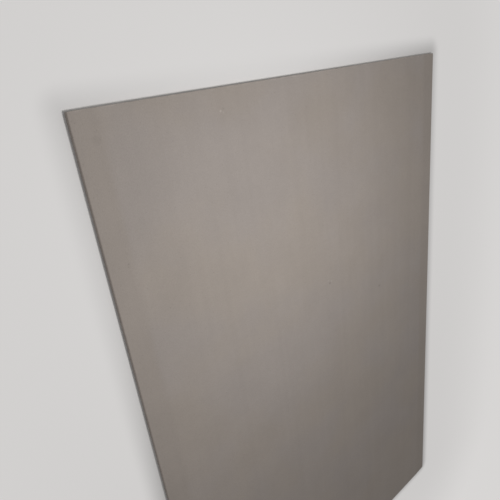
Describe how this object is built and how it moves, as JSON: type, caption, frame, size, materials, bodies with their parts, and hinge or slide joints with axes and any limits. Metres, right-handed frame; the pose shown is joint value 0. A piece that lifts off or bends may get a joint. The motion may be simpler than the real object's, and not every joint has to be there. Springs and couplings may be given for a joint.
{
  "type": "drywall sheet",
  "caption": "Flat rectangular gypsum board that lines walls and ceilings, faced with greige paper, with shallow tapers along its long edges and square-cut ends.",
  "frame": {"origin": "middle of the back face, on the level floor that the sheet lies on", "axes": "+Z out of the front face, +Y along the length of the sheet, +X across its width"},
  "size_m": [1.2, 1.8, 0.0125],
  "materials": {
    "board_paper": "matte"
  },
  "bodies": {
    "root": {"drywall_sheet": "board_paper"}
  },
  "joints": []
}
